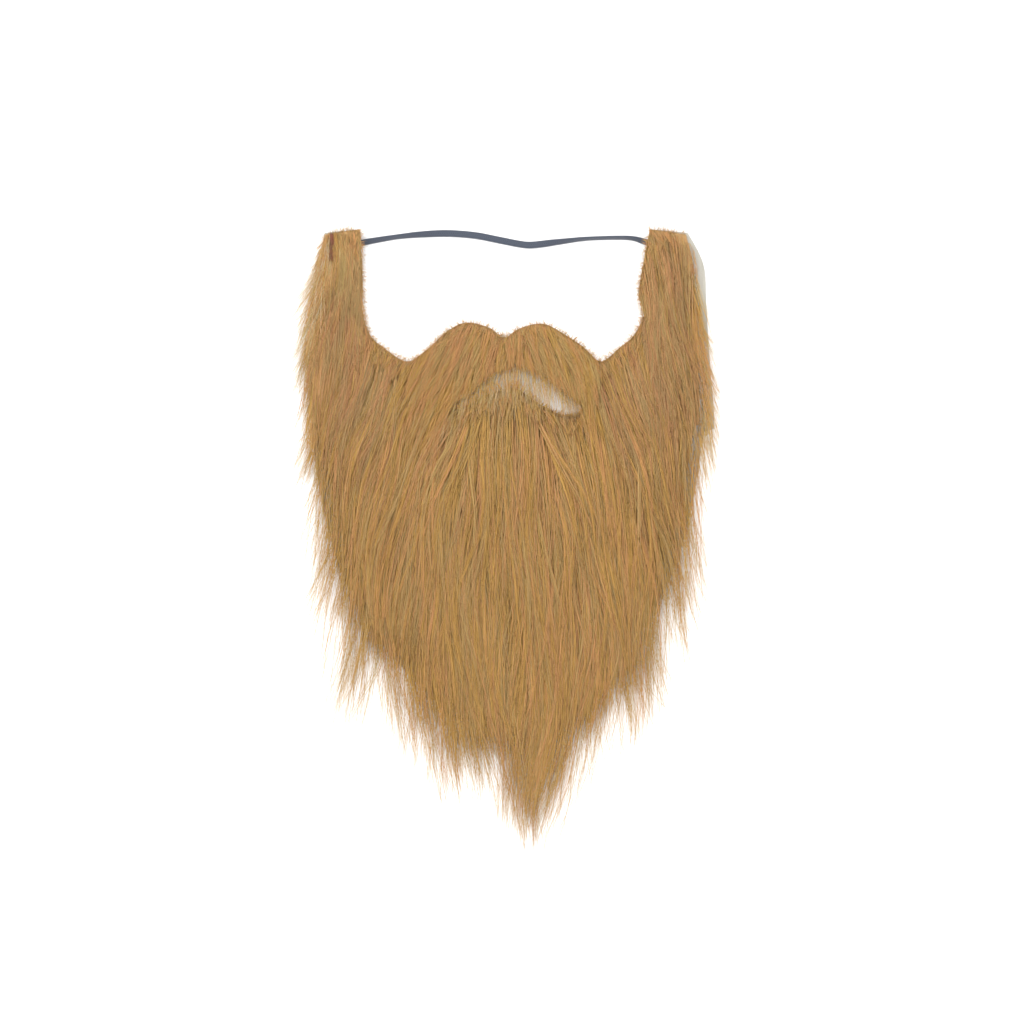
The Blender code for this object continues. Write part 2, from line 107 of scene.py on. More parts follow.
def smooth_line(points, count, closed=False):
    """A Catmull-Rom line through the points, read at count places spaced evenly by its length."""
    spots = np.asarray(points, dtype=float)
    ends = (spots[-1:], spots[:2]) if closed else (spots[:1], spots[-1:])
    framed = np.vstack([ends[0], spots, ends[1]])
    t = np.linspace(0.0, 1.0, 12, endpoint=False)[:, None]
    a, b, c, d = (framed[k : len(framed) - 3 + k, None] for k in range(4))
    fine = b + 0.5 * t * (c - a)
    fine = fine + t**2 * (a - 2.5 * b + 2.0 * c - 0.5 * d)
    fine = fine + t**3 * (1.5 * (b - c) + 0.5 * (d - a))
    fine = np.vstack([fine.reshape(-1, spots.shape[1]), spots[:1] if closed else spots[-1:]])
    way = np.append(0.0, np.cumsum(np.linalg.norm(np.diff(fine[:, :2], axis=0), axis=1)))
    at = np.linspace(0.0, way[-1], count, endpoint=not closed)
    return np.stack([np.interp(at, way, column) for column in fine.T], axis=1)


def new_piece(name, mesh, finish):
    """The mesh with its finish as a piece of the scene, which rides on the part's only body."""
    mesh.materials.append(finish)
    piece = bpy.data.objects.new(name, mesh)
    bpy.context.scene.collection.objects.link(piece)
    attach(piece, "root")
    return piece


def lofted(name, rings, finish):
    """A closed skin over rings of points, shape (stations, corners, 3) in millimetres, each end closed by a
    fan to its middle. Its UV map runs along the stations in metres and once round the rings."""
    stations, corners, _ = rings.shape
    places = np.vstack([rings.reshape(-1, 3), rings[0].mean(0), rings[-1].mean(0)]) * 0.001
    row, column = np.meshgrid(np.arange(stations - 1), np.arange(corners), indexing="ij")
    after = (column + 1) % corners
    here, there = row * corners, (row + 1) * corners
    sides = np.stack([here + column, here + after, there + after, there + column], -1)
    turn = np.arange(corners)
    last = (stations - 1) * corners
    start = np.stack([turn, np.full(corners, stations * corners), (turn + 1) % corners], -1)
    end = np.stack([last + turn, last + (turn + 1) % corners, np.full(corners, stations * corners + 1)], -1)
    mesh = bpy.data.meshes.new(name)
    mesh.from_pydata(places.tolist(), [], sides.reshape(-1, 4).tolist() + start.tolist() + end.tolist())
    way = np.append(0.0, np.cumsum(np.linalg.norm(np.diff(rings.mean(1), axis=0), axis=1))) * 0.001
    flat = np.stack([way[row], way[row], way[row + 1], way[row + 1]], -1)
    round_it = np.stack([column, column + 1, column + 1, column], -1) / corners
    caps = np.zeros((2 * corners * 3, 2))
    caps[corners * 3 :, 0] = way[-1]
    uv = np.vstack([np.stack([flat.ravel(), round_it.ravel()], -1), caps])
    mesh.uv_layers.new(name="along_and_round").data.foreach_set("uv", uv.ravel())
    mesh.shade_smooth()
    return new_piece(name, mesh, finish)


def new_finish(name, colour, roughness, sheen=0.0):
    """A cloth-like material, with its node tree and its Principled shader at hand."""
    finish = bpy.data.materials.new(name)
    finish.use_nodes = True
    shader = finish.node_tree.nodes["Principled BSDF"]
    shader.inputs["Base Color"].default_value = (*colour, 1.0)
    shader.inputs["Roughness"].default_value = roughness
    shader.inputs["Sheen Weight"].default_value = sheen
    shader.inputs["Sheen Roughness"].default_value = 0.5
    return finish, finish.node_tree, shader


def calculated(tree, operation, first, second=None):
    """The output of a new math node in the tree, fed by sockets or by plain numbers."""
    node = tree.nodes.new("ShaderNodeMath")
    node.operation = operation
    for socket, value in zip(node.inputs, (first, second)):
        if isinstance(value, (int, float)):
            socket.default_value = value
        elif value is not None:
            tree.links.new(value, socket)
    return node.outputs[0]


def braid_group():
    """Yarn relief as a group: two sets of slanting yarns crossing, from |sin| of U plus and minus V."""
    tree = bpy.data.node_groups.new("braided_yarn", "ShaderNodeTree")
    for name in ("Along", "Round", "Along Pitch", "Round Count"):
        tree.interface.new_socket(name=name, in_out="INPUT", socket_type="NodeSocketFloat")
    tree.interface.new_socket(name="Height", in_out="OUTPUT", socket_type="NodeSocketFloat")
    inner = tree.nodes.new("NodeGroupInput")
    outer = tree.nodes.new("NodeGroupOutput")
    along = calculated(tree, "DIVIDE", inner.outputs["Along"], inner.outputs["Along Pitch"])
    around = calculated(tree, "MULTIPLY", inner.outputs["Round"], inner.outputs["Round Count"])
    slants = []
    for sign in ("ADD", "SUBTRACT"):
        turn = calculated(tree, "MULTIPLY", calculated(tree, sign, along, around), math.pi)
        slants.append(calculated(tree, "ABSOLUTE", calculated(tree, "SINE", turn)))
    tree.links.new(calculated(tree, "MAXIMUM", *slants), outer.inputs["Height"])
    return tree


BRAID = braid_group()


def yarn_finish(name, dark, light, pitch, count, roughness, depth):
    """A braided finish: its relief drives a bump and a blend from the gaps, darkened as painted shade, to the
    light yarns.
    """
    finish, tree, shader = new_finish(name, light, roughness, sheen=0.25)
    place = tree.nodes.new("ShaderNodeUVMap")
    place.uv_map = "along_and_round"
    parts = tree.nodes.new("ShaderNodeSeparateXYZ")
    braid = tree.nodes.new("ShaderNodeGroup")
    braid.node_tree = BRAID
    braid.inputs["Along Pitch"].default_value = pitch
    braid.inputs["Round Count"].default_value = count
    tree.links.new(place.outputs["UV"], parts.inputs[0])
    tree.links.new(parts.outputs["X"], braid.inputs["Along"])
    tree.links.new(parts.outputs["Y"], braid.inputs["Round"])
    shade = tree.nodes.new("ShaderNodeValToRGB")
    shade.color_ramp.elements[0].color = (*dark, 1.0)
    shade.color_ramp.elements[0].position = 0.25
    shade.color_ramp.elements[1].color = (*light, 1.0)
    tree.links.new(braid.outputs["Height"], shade.inputs["Fac"])
    tree.links.new(shade.outputs["Color"], shader.inputs["Base Color"])
    bump = tree.nodes.new("ShaderNodeBump")
    bump.inputs["Strength"].default_value = 0.6
    bump.inputs["Distance"].default_value = depth
    tree.links.new(braid.outputs["Height"], bump.inputs["Height"])
    tree.links.new(bump.outputs["Normal"], shader.inputs["Normal"])
    return finish


route = smooth_line(BAND_ROUTE, BAND_STATIONS)
turned = np.radians(np.maximum(route[:, 2], 0.0))
centre_height = BAND_LIE + 0.5 * (BAND_WIDTH * np.sin(turned) + BAND_THICK * np.cos(turned))
band_line = np.column_stack([route[:, :2], centre_height])
heading = np.gradient(band_line[:, :2], axis=0)
heading /= np.linalg.norm(heading, axis=1, keepdims=True)
level = np.column_stack([-heading[:, 1], heading[:, 0], np.zeros(BAND_STATIONS)])
# The section is a flat rounded bar with a bead along each edge and three shallow grooves between its cords.
around = np.linspace(0.0, 2 * np.pi, 28, endpoint=False)
across_band = np.sign(np.cos(around)) * np.abs(np.cos(around)) ** 0.75
grooves = 0.86 + 0.14 * np.cos(4 * np.pi * across_band)
through_band = np.sign(np.sin(around)) * np.abs(np.sin(around)) ** 0.6 * grooves
width_way = level * np.cos(turned)[:, None] + np.array([0.0, 0.0, 1.0]) * np.sin(turned)[:, None]
thick_way = np.array([0.0, 0.0, 1.0]) * np.cos(turned)[:, None] - level * np.sin(turned)[:, None]
band_rings = (
    band_line[:, None]
    + 0.5 * BAND_WIDTH * across_band[None, :, None] * width_way[:, None]
    + 0.5 * BAND_THICK * through_band[None, :, None] * thick_way[:, None]
)
navy_elastic = yarn_finish(
    "navy_elastic", dark=(0.012, 0.016, 0.026), light=(0.052, 0.063, 0.090),
    pitch=0.0011, count=9.0, roughness=0.8, depth=0.00025,
)
elastic_band = lofted("elastic_braid", band_rings[:, ::-1], navy_elastic)
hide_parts("elastic_band")

# The ground cloth: the knitted sheet that carries the pile, cut with scissors to the beard's outline with
# a crescent slot for the mouth. It lies flat, but for the corners that are lifted over the band's ends.
CLOTH_THICK = 1.2
SHEET_SPACING = 5.0
# across the left edge, height, across the right edge, width of the strip there that is bare of pile
SIDE_EDGES = (
    (-91.5, 155.5, 90.5, 0.5), (-94.5, 140.0, 98.5, 3.8), (-96.5, 120.0, 100.0, 3.4),
    (-98.0, 95.0, 101.5, 2.6), (-98.5, 70.0, 103.5, 2.6), (-98.0, 57.5, 104.2, 2.6),
)
# across the left edge, height, across the right edge
CHIN_EDGES = (
    (-97.8, 55.5, 98.5), (-95.5, 35.0, 95.5), (-90.5, 10.0, 91.0), (-83.0, -15.0, 83.0), (-70.0, -40.0, 70.0),
    (-50.0, -65.0, 51.0), (-24.0, -85.0, 28.0),
)
CHIN_POINT = (3.0, -92.0)
INNER_EDGES = (
    (-73.5, 157.0, 71.5), (-73.0, 147.0, 69.5), (-72.5, 131.0, 66.8), (-72.5, 123.0, 66.2),
    (-72.5, 115.0, 68.8), (-68.5, 104.0, 63.5),
)
# across, height
FACE_EDGE = (
    (-62.5, 98.5), (-50.0, 91.0), (-38.5, 98.5), (-31.0, 105.5), (-21.0, 110.5), (-9.0, 108.0), (-1.5, 103.0),
    (6.0, 107.5), (18.0, 110.0), (29.0, 104.5), (38.0, 98.5), (47.0, 91.0), (57.0, 98.5),
)
# across, lower edge, upper edge
MOUTH_SLOT = (
    (-28.0, 68.5, 68.5), (-20.0, 69.0, 77.0), (-8.0, 75.0, 85.5), (4.0, 77.0, 89.5), (16.0, 70.0, 87.0),
    (26.0, 65.0, 80.0), (34.0, 65.0, 73.0), (38.0, 68.0, 68.0),
)
# across, height, rise, for each end of the band: at the cloth's edge and at the sewn end
BAND_LIFTS = ((-71.0, 150.4, 3.6), (-82.0, 149.6, 1.8), (68.0, 151.0, 3.6), (79.0, 149.2, 1.8))
LIFT_RADIUS = 9.5
# how many points the cut outline has on its outer side, of these on the right sideburn, and towards the face
OUTER_POINTS = 224
SIDE_POINTS = 34
FACE_POINTS = 120


def cloth_cut(bare_share=0.0):
    """The cut outline, anticlockwise from the top of the left sideburn, less a share of its bare strip: three
    smooth lines that meet at corners."""
    left = [(a, h) for a, h, *_ in SIDE_EDGES] + [(a, h) for a, h, _ in CHIN_EDGES]
    right_chin = [(b, h) for _, h, b in reversed(CHIN_EDGES)]
    right_side = [(b - bare_share * bare, h) for _, h, b, bare in reversed(SIDE_EDGES)]
    top = [(b, h) for _, h, b in INNER_EDGES] + list(reversed(FACE_EDGE))
    top += [(a, h) for a, h, _ in reversed(INNER_EDGES)]
    chin = smooth_line(left + [CHIN_POINT] + right_chin, OUTER_POINTS - SIDE_POINTS)
    return np.vstack([chin, smooth_line(right_side, SIDE_POINTS), smooth_line(top, FACE_POINTS)])


def slot_cut():
    """The slot's edge, from its left end along the upper side and back along the lower side."""
    upper = [(a, u) for a, _, u in MOUTH_SLOT]
    lower = [(a, l) for a, l, _ in reversed(MOUTH_SLOT[1:-1])]
    return smooth_line(upper + lower, 64, closed=True)


def inside_of(x, y, outline):
    """True where a ray to the right crosses the closed outline an odd number of times."""
    a, b = outline, np.roll(outline, -1, axis=0)
    x, y = np.asarray(x)[..., None], np.asarray(y)[..., None]
    slope = (b[:, 0] - a[:, 0]) / np.where(b[:, 1] == a[:, 1], 1e-9, b[:, 1] - a[:, 1])
    crosses = ((a[:, 1] > y) != (b[:, 1] > y)) & (x < a[:, 0] + (y - a[:, 1]) * slope)
    return crosses.sum(-1) % 2 == 1


def distance_to(x, y, outline):
    """The least distance from each place to the closed outline's sides, negative inside it."""
    a, b = outline, np.roll(outline, -1, axis=0)
    side = b - a
    spot = np.stack([x, y], -1)[..., None, :]
    share = np.clip(((spot - a) * side).sum(-1) / np.maximum((side**2).sum(-1), 1e-9), 0.0, 1.0)
    away = np.linalg.norm(spot - a - share[..., None] * side, axis=-1).min(-1)
    return np.where(inside_of(x, y, outline), -away, away)


def cloth_rise(x, y):
    """How far the cloth is lifted over the band's ends: the highest of four cosine bells."""
    rise = np.zeros_like(x)
    for across, height, lift in BAND_LIFTS:
        away = np.minimum(np.hypot(x - across, y - height) / LIFT_RADIUS, 2.0)
        rise = np.maximum(rise, lift * 0.5 * (1 + np.cos(np.pi * away / 2.0)))
    return rise


def laid_sheet(name, outline, hole, height, thickness, finish):
    """A sheet filled in between its outline and its hole by triangles about SHEET_SPACING wide. Each corner
    of its underside is at height(x, y), and its thickness is added above."""
    low, high = outline.min(0), outline.max(0)
    columns, rows = ((high - low) / SHEET_SPACING + 1).astype(int)
    row, column = np.meshgrid(np.arange(rows), np.arange(columns), indexing="ij")
    x = (low[0] + (column + 0.5 * (row % 2)) * SHEET_SPACING).ravel()
    y = (low[1] + row * SHEET_SPACING).ravel()
    margin = 0.5 * SHEET_SPACING
    clear = (distance_to(x, y, outline) < -margin) & (distance_to(x, y, hole) > margin)
    spots = np.vstack([outline, hole, np.column_stack([x[clear], y[clear]])])
    first = len(outline)
    sides = [(k, (k + 1) % first) for k in range(first)]
    sides += [(first + k, first + (k + 1) % len(hole)) for k in range(len(hole))]
    placed, _, faces, *_ = delaunay_2d_cdt([Vector(spot) for spot in spots], sides, [], 1, 1e-6)
    placed = np.array([tuple(spot) for spot in placed])
    middles = np.array([placed[list(face)].mean(0) for face in faces])
    keep = ~inside_of(middles[:, 0], middles[:, 1], hole)
    mesh = bpy.data.meshes.new(name)
    places = np.column_stack([placed, height(placed[:, 0], placed[:, 1])]) * 0.001
    mesh.from_pydata(places.tolist(), [], [face for face, kept in zip(faces, keep) if kept])
    piece = new_piece(name, mesh, finish)
    wall = piece.modifiers.new("thickness", "SOLIDIFY")
    wall.thickness = thickness * 0.001
    wall.offset = 1.0
    return piece


def knit_group():
    """Stitches of a plain knit as a group, from a place in metres: columns a wale wide, in each of which the
    two legs of a V lean in to its middle, one V to each course. Puts out a height and a mask of the gaps."""
    tree = bpy.data.node_groups.new("plain_knit", "ShaderNodeTree")
    tree.interface.new_socket(name="Place", in_out="INPUT", socket_type="NodeSocketVector")
    for name in ("Wale", "Course"):
        tree.interface.new_socket(name=name, in_out="INPUT", socket_type="NodeSocketFloat")
    for name in ("Height", "Gap"):
        tree.interface.new_socket(name=name, in_out="OUTPUT", socket_type="NodeSocketFloat")
    inner = tree.nodes.new("NodeGroupInput")
    outer = tree.nodes.new("NodeGroupOutput")
    parts = tree.nodes.new("ShaderNodeSeparateXYZ")
    tree.links.new(inner.outputs["Place"], parts.inputs[0])
    across = calculated(tree, "DIVIDE", parts.outputs["X"], inner.outputs["Wale"])
    column = calculated(tree, "FRACT", across)
    from_middle = calculated(tree, "ABSOLUTE", calculated(tree, "SUBTRACT", column, 0.5))
    course = calculated(tree, "DIVIDE", parts.outputs["Y"], inner.outputs["Course"])
    slant = calculated(tree, "SUBTRACT", course, calculated(tree, "MULTIPLY", from_middle, 1.6))
    leg = calculated(tree, "SINE", calculated(tree, "MULTIPLY", slant, 2 * math.pi))
    leg = calculated(tree, "ADD", calculated(tree, "MULTIPLY", leg, 0.5), 0.5)
    wale = calculated(tree, "SINE", calculated(tree, "MULTIPLY", from_middle, 2 * math.pi))
    body = calculated(tree, "ADD", calculated(tree, "MULTIPLY", leg, 0.6), 0.4)
    height = calculated(tree, "MULTIPLY", body, wale)
    tree.links.new(height, outer.inputs["Height"])
    tree.links.new(calculated(tree, "SUBTRACT", 1.0, height), outer.inputs["Gap"])
    return tree


knit_ground, tree, shader = new_finish("knit_ground", (0.60, 0.57, 0.50), 0.92, sheen=0.3)
place = tree.nodes.new("ShaderNodeTexCoord")
stitches = tree.nodes.new("ShaderNodeGroup")
stitches.node_tree = knit_group()
stitches.inputs["Wale"].default_value = 0.0013
stitches.inputs["Course"].default_value = 0.0010
tree.links.new(place.outputs["Object"], stitches.inputs["Place"])
# the yarn is darker in the gaps between the stitches: painted shade in the hollows of the knit
yarn = tree.nodes.new("ShaderNodeValToRGB")
yarn.color_ramp.elements[0].color = (0.60, 0.58, 0.52, 1.0)
yarn.color_ramp.elements[1].color = (0.42, 0.39, 0.32, 1.0)
tree.links.new(stitches.outputs["Gap"], yarn.inputs["Fac"])
blotch = tree.nodes.new("ShaderNodeTexNoise")
blotch.inputs["Scale"].default_value = 45.0
blotch.inputs["Detail"].default_value = 4.0
tree.links.new(place.outputs["Object"], blotch.inputs["Vector"])
mottled = tree.nodes.new("ShaderNodeMix")
mottled.data_type = "RGBA"
mottled.blend_type = "MULTIPLY"
mottled.inputs[0].default_value = 0.25
tree.links.new(yarn.outputs["Color"], mottled.inputs[6])
tree.links.new(blotch.outputs["Fac"], mottled.inputs[7])
tree.links.new(mottled.outputs[2], shader.inputs["Base Color"])
bump = tree.nodes.new("ShaderNodeBump")
bump.inputs["Strength"].default_value = 0.7
bump.inputs["Distance"].default_value = 0.0004
tree.links.new(stitches.outputs["Height"], bump.inputs["Height"])
tree.links.new(bump.outputs["Normal"], shader.inputs["Normal"])

CLOTH_CUT = cloth_cut()
SLOT_CUT = slot_cut()
ground_cloth = laid_sheet(
    "ground_cloth", CLOTH_CUT, SLOT_CUT, cloth_rise, CLOTH_THICK, knit_ground,
)
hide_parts("backing_cloth")

# The stitching: a bar of zigzag stitches in tan thread through each end of the band, which holds it to the
# back of the cloth. It shows only from below.
THREAD_THICK = 0.3
STITCH_TURNS = 15
STITCH_STEP = 0.42
STITCH_WIDTH = 2.5
tan_thread = yarn_finish(
    "tan_thread", dark=(0.12, 0.07, 0.03), light=(0.32, 0.21, 0.10),
    pitch=0.0006, count=2.0, roughness=0.6, depth=0.00005,
)
for side, (across, height) in (("left", (-81.0, 149.7)), ("right", (78.0, 149.3))):
    turns = np.arange(STITCH_TURNS)
    upper = turns % 2 == 1
    zigzag = np.column_stack([
        across + (turns - STITCH_TURNS // 2) * STITCH_STEP,
        height + np.where(upper, 0.5, -0.5) * STITCH_WIDTH,
        np.where(upper, 0.10, 0.12),
    ])
    thread_line = smooth_line(zigzag, 150)
    run = np.gradient(thread_line, axis=0)
    run /= np.linalg.norm(run, axis=1, keepdims=True)
    beside = np.cross(run, (0.0, 0.0, 1.0))
    above = np.cross(beside, run)
    turn = np.linspace(0.0, 2 * np.pi, 8, endpoint=False)
    rings = thread_line[:, None] + 0.5 * THREAD_THICK * (
        np.cos(turn)[None, :, None] * beside[:, None] + np.sin(turn)[None, :, None] * above[:, None]
    )
    lofted(f"stitching_{side}", rings[:, ::-1], tan_thread)

# The underfur: the short curled fibre between the roots of the long pile. It covers the cloth and keeps it
# from showing between the locks. Its colour, a little darker than the long pile's, is partly the fibre's own
# tone and partly painted shade of the deep pile between the locks.
UNDERFUR_BASE = 1.35
UNDERFUR_THICK = 0.8
SLOT_CLEARANCE = 0.9


def underfur_rise(x, y):
    """The height of the underfur's underside: it follows the cloth's rise, with a slow ripple."""
    ripple = 0.15 * np.sin(0.31 * x + 0.4 * np.sin(0.23 * y)) * np.sin(0.27 * y)
    return UNDERFUR_BASE + cloth_rise(x, y) + ripple


# the underfur's colour: the fibre's own tone, darkened by painted shade of the deep pile
fibre_in_painted_shade, tree, shader = new_finish("fibre_in_painted_shade", (0.22, 0.13, 0.055), 0.9)
place = tree.nodes.new("ShaderNodeTexCoord")
combed = tree.nodes.new("ShaderNodeMapping")
combed.inputs["Scale"].default_value = (1400.0, 160.0, 900.0)
fibre = tree.nodes.new("ShaderNodeTexNoise")
fibre.inputs["Scale"].default_value = 1.0
fibre.inputs["Detail"].default_value = 5.0
shade = tree.nodes.new("ShaderNodeValToRGB")
shade.color_ramp.elements[0].position = 0.3
shade.color_ramp.elements[0].color = (0.33, 0.198, 0.080, 1.0)
shade.color_ramp.elements[1].position = 0.7
shade.color_ramp.elements[1].color = (0.48, 0.295, 0.122, 1.0)
tree.links.new(place.outputs["Object"], combed.inputs["Vector"])
tree.links.new(combed.outputs["Vector"], fibre.inputs["Vector"])
tree.links.new(fibre.outputs["Fac"], shade.inputs["Fac"])
tree.links.new(shade.outputs["Color"], shader.inputs["Base Color"])
bump = tree.nodes.new("ShaderNodeBump")
bump.inputs["Strength"].default_value = 0.8
bump.inputs["Distance"].default_value = 0.0006
tree.links.new(fibre.outputs["Fac"], bump.inputs["Height"])
tree.links.new(bump.outputs["Normal"], shader.inputs["Normal"])

PILE_CUT = cloth_cut(bare_share=1.0)
from_middle = SLOT_CUT - SLOT_CUT.mean(0)
slot_rim = SLOT_CUT + SLOT_CLEARANCE * from_middle / np.linalg.norm(from_middle, axis=1, keepdims=True)
along_cut = np.roll(PILE_CUT, -1, axis=0) - np.roll(PILE_CUT, 1, axis=0)
across_cut = np.column_stack([-along_cut[:, 1], along_cut[:, 0]])
into_pile = across_cut / np.linalg.norm(along_cut, axis=1, keepdims=True)
# It ends with the pile towards the face, and stops short of it at the outer sides, where the pile thins out.
outer_side = np.arange(len(PILE_CUT)) < OUTER_POINTS
side_inset = np.interp(PILE_CUT[:, 1], (-60.0, -20.0, 60.0, 110.0, 150.0), (3.0, 6.5, 5.0, 2.5, 1.0))
underfur_cut = PILE_CUT + np.where(outer_side, side_inset, 0.0)[:, None] * into_pile
underfur = laid_sheet(
    "underfur", underfur_cut, slot_rim, underfur_rise, UNDERFUR_THICK, fibre_in_painted_shade,
)
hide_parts("fur_pile")

# The long pile: straight acrylic fibre knitted into the cloth and combed down, standing here as fine
# tapered strands gathered into thin locks. The sideburns come first, with the tables that all the pile reads.

# lean from straight down in degrees, positive to the right: a row for each height, a column for each place
LEAN_ACROSS = np.array([-100.0, -60.0, -30.0, -10.0, 10.0, 30.0, 60.0, 100.0])
LEAN_HEIGHTS = np.array([150.0, 110.0, 92.0, 72.0, 45.0, 5.0, -35.0, -65.0, -90.0, -115.0, -150.0])
LEANS = np.array([
    [-9.0, 1.0, 0.0, 0.0, 0.0, 0.0, 1.0, 9.0],
    [-7.0, -5.0, -42.0, -18.0, 12.0, 32.0, 8.0, 9.0],
    [-5.0, -14.0, -40.0, -16.0, 12.0, 30.0, 14.0, 10.0],
    [-6.0, -22.0, -28.0, -12.0, 8.0, 20.0, 16.0, 8.0],
    [-8.0, -18.0, -15.0, -6.0, 5.0, 13.0, 13.0, 5.0],
    [-8.0, -10.0, -7.0, -2.0, 2.0, 7.0, 9.0, 4.0],
    [-8.0, -4.0, -2.0, 0.0, 1.0, 4.0, 5.0, 3.0],
    [-8.0, 2.0, 3.0, 1.0, 0.0, -2.0, 0.0, 0.0],
    [-6.0, 6.0, 8.0, 6.0, -1.0, -9.0, -8.0, -6.0],
    [0.0, 8.0, 8.0, 12.0, -6.0, -20.0, -14.0, -10.0],
    [0.0, 8.0, 10.0, 16.0, -9.0, -26.0, -18.0, -10.0],
])
# height, crown, rim: the top of the pile over the table, along its middle and over the cloth's edge
PILE_HEIGHTS = np.array([
    [-92.0, 9.0, 6.5], [-60.0, 11.0, 7.0], [0.0, 11.5, 7.0], [60.0, 9.5, 6.5],
    [100.0, 7.0, 5.5], [120.0, 7.5, 5.5], [157.0, 6.0, 5.0],
])
# height, the length in millimetres over which the fringe thins out by a factor e, and how many of these
# lengths inside its outline the thinning begins, on the left and on the right
FADE = np.array([
    [-150.0, 5.5, 2.8, 2.6], [-105.0, 7.5, 2.8, 2.7], [-65.0, 8.0, 4.1, 2.7], [-35.0, 7.0, 2.6, 3.4],
    [-10.0, 7.0, 3.5, 3.6], [20.0, 7.0, 3.5, 3.6], [60.0, 5.5, 2.2, 4.0], [95.0, 4.0, 1.6, 4.1],
    [157.0, 3.5, 1.2, 2.2],
])
# the tuft at the lower left corner holds together: how far left and down it begins, and how many of the
# fringe's lengths inside its outline the thinning begins there
CORNER_TUFT = (-70.0, -50.0, 1.7)
# the two measures of the fade at the edges round the face, which were cut with scissors
FACE_FADE = (1.7, 0.5)
# no hair ends further out to the sides than this
WIDEST = 111.0
# the pile rises to its crown this far in from the cloth's edge, and falls to its tips this far past it
RIM_REACH = 22.0
FRINGE_FALL = 55.0
FRINGE_TIP_HEIGHT = 1.2
# how far the pile reaches: the outline of its dense part, with the gaps between the tufts of the fringe
REACH = np.array([
    (-93.0, 157.5), (-95.5, 150.0), (-97.5, 140.0), (-99.0, 126.0), (-100.0, 112.0), (-101.5, 101.0),
    (-103.5, 90.0), (-104.5, 75.0), (-104.0, 66.0), (-101.5, 57.0), (-100.5, 44.0), (-98.5, 27.0),
    (-95.5, 12.0), (-94.5, -4.0), (-93.0, -15.0), (-89.0, -23.0), (-87.0, -36.0), (-84.5, -52.0),
    (-83.0, -66.0), (-82.0, -79.0), (-74.0, -72.0), (-66.0, -64.5), (-60.0, -74.0), (-55.0, -85.0),
    (-48.5, -94.0), (-38.5, -100.0), (-33.5, -110.0), (-28.0, -118.0), (-24.5, -124.0), (-20.0, -118.0),
    (-14.5, -121.0), (-9.0, -110.0), (-4.5, -107.5), (0.5, -112.0), (2.0, -122.0), (4.5, -132.0),
    (9.0, -140.0), (14.5, -147.0), (20.0, -139.0), (24.5, -130.5), (28.5, -122.0), (31.5, -111.0),
    (34.0, -103.0), (38.5, -99.5), (45.0, -101.0), (52.0, -93.0), (60.0, -86.0), (65.0, -77.0),
    (72.0, -68.0), (77.0, -59.5), (83.5, -52.0), (86.0, -40.0), (91.0, -33.0), (92.5, -20.0),
    (92.5, -6.0), (95.0, 5.0), (97.0, 18.0), (97.5, 30.0), (99.0, 43.0), (101.5, 53.0),
    (103.0, 66.0), (102.5, 82.0), (100.5, 96.0), (98.0, 112.0), (96.0, 128.0), (93.5, 141.0),
    (91.0, 150.0), (90.0, 157.0), (71.0, 157.5), (69.0, 147.0), (66.3, 131.0), (65.7, 123.0),
    (68.3, 115.0), (63.5, 104.0), (57.0, 98.0), (47.0, 90.5), (38.0, 98.5), (29.0, 105.0),
    (18.0, 110.5), (6.0, 108.0), (-1.5, 103.5), (-9.0, 108.5), (-21.0, 111.0), (-31.0, 106.0),
    (-38.5, 98.5), (-50.0, 90.5), (-62.5, 98.0), (-69.0, 104.0), (-72.5, 115.0), (-72.5, 130.0),
    (-73.0, 147.0), (-73.5, 157.5),
])
# the grid on which the distances to the outlines are worked out once, and read from then on
MAP_STEP = 2.0
MAP_X = np.arange(-130.0, 131.0, MAP_STEP)
MAP_Y = np.arange(-190.0, 181.0, MAP_STEP)


def distance_map(outline):
    """The signed distance to a closed outline at each node of the grid."""
    return np.stack([distance_to(MAP_X, np.full_like(MAP_X, height), outline) for height in MAP_Y])


def read_map(grid, x, y):
    """The map at each place, blended from the four nodes round it."""
    u = np.clip((x - MAP_X[0]) / MAP_STEP, 0, len(MAP_X) - 1.001)
    v = np.clip((y - MAP_Y[0]) / MAP_STEP, 0, len(MAP_Y) - 1.001)
    i, j = u.astype(int), v.astype(int)
    u, v = u - i, v - j
    below = grid[j, i] * (1 - u) + grid[j, i + 1] * u
    above = grid[j + 1, i] * (1 - u) + grid[j + 1, i + 1] * u
    return below * (1 - v) + above * v


CLOTH_MAP = distance_map(CLOTH_CUT)
PILE_MAP = distance_map(PILE_CUT)
SLOT_MAP = distance_map(slot_rim)
REACH_MAP = distance_map(REACH)


def lean_at(x, y):
    """How the pile is combed at each place, in radians from straight down: the tables blended both ways,
    with a slow swirl of a few degrees on top from two sine waves."""
    by_row = np.stack([np.interp(x, LEAN_ACROSS, row) for row in LEANS])
    row = np.clip(np.searchsorted(-LEAN_HEIGHTS, -y) - 1, 0, len(LEAN_HEIGHTS) - 2)
    share = np.clip((LEAN_HEIGHTS[row] - y) / (LEAN_HEIGHTS[row] - LEAN_HEIGHTS[row + 1]), 0.0, 1.0)
    place = np.arange(len(x))
    lean = by_row[row, place] * (1 - share) + by_row[row + 1, place] * share
    swirl = 4.0 * np.sin(0.16 * x + 0.05 * y + 1.3) + 3.0 * np.sin(0.11 * x - 0.09 * y)
    return np.radians(lean + swirl)


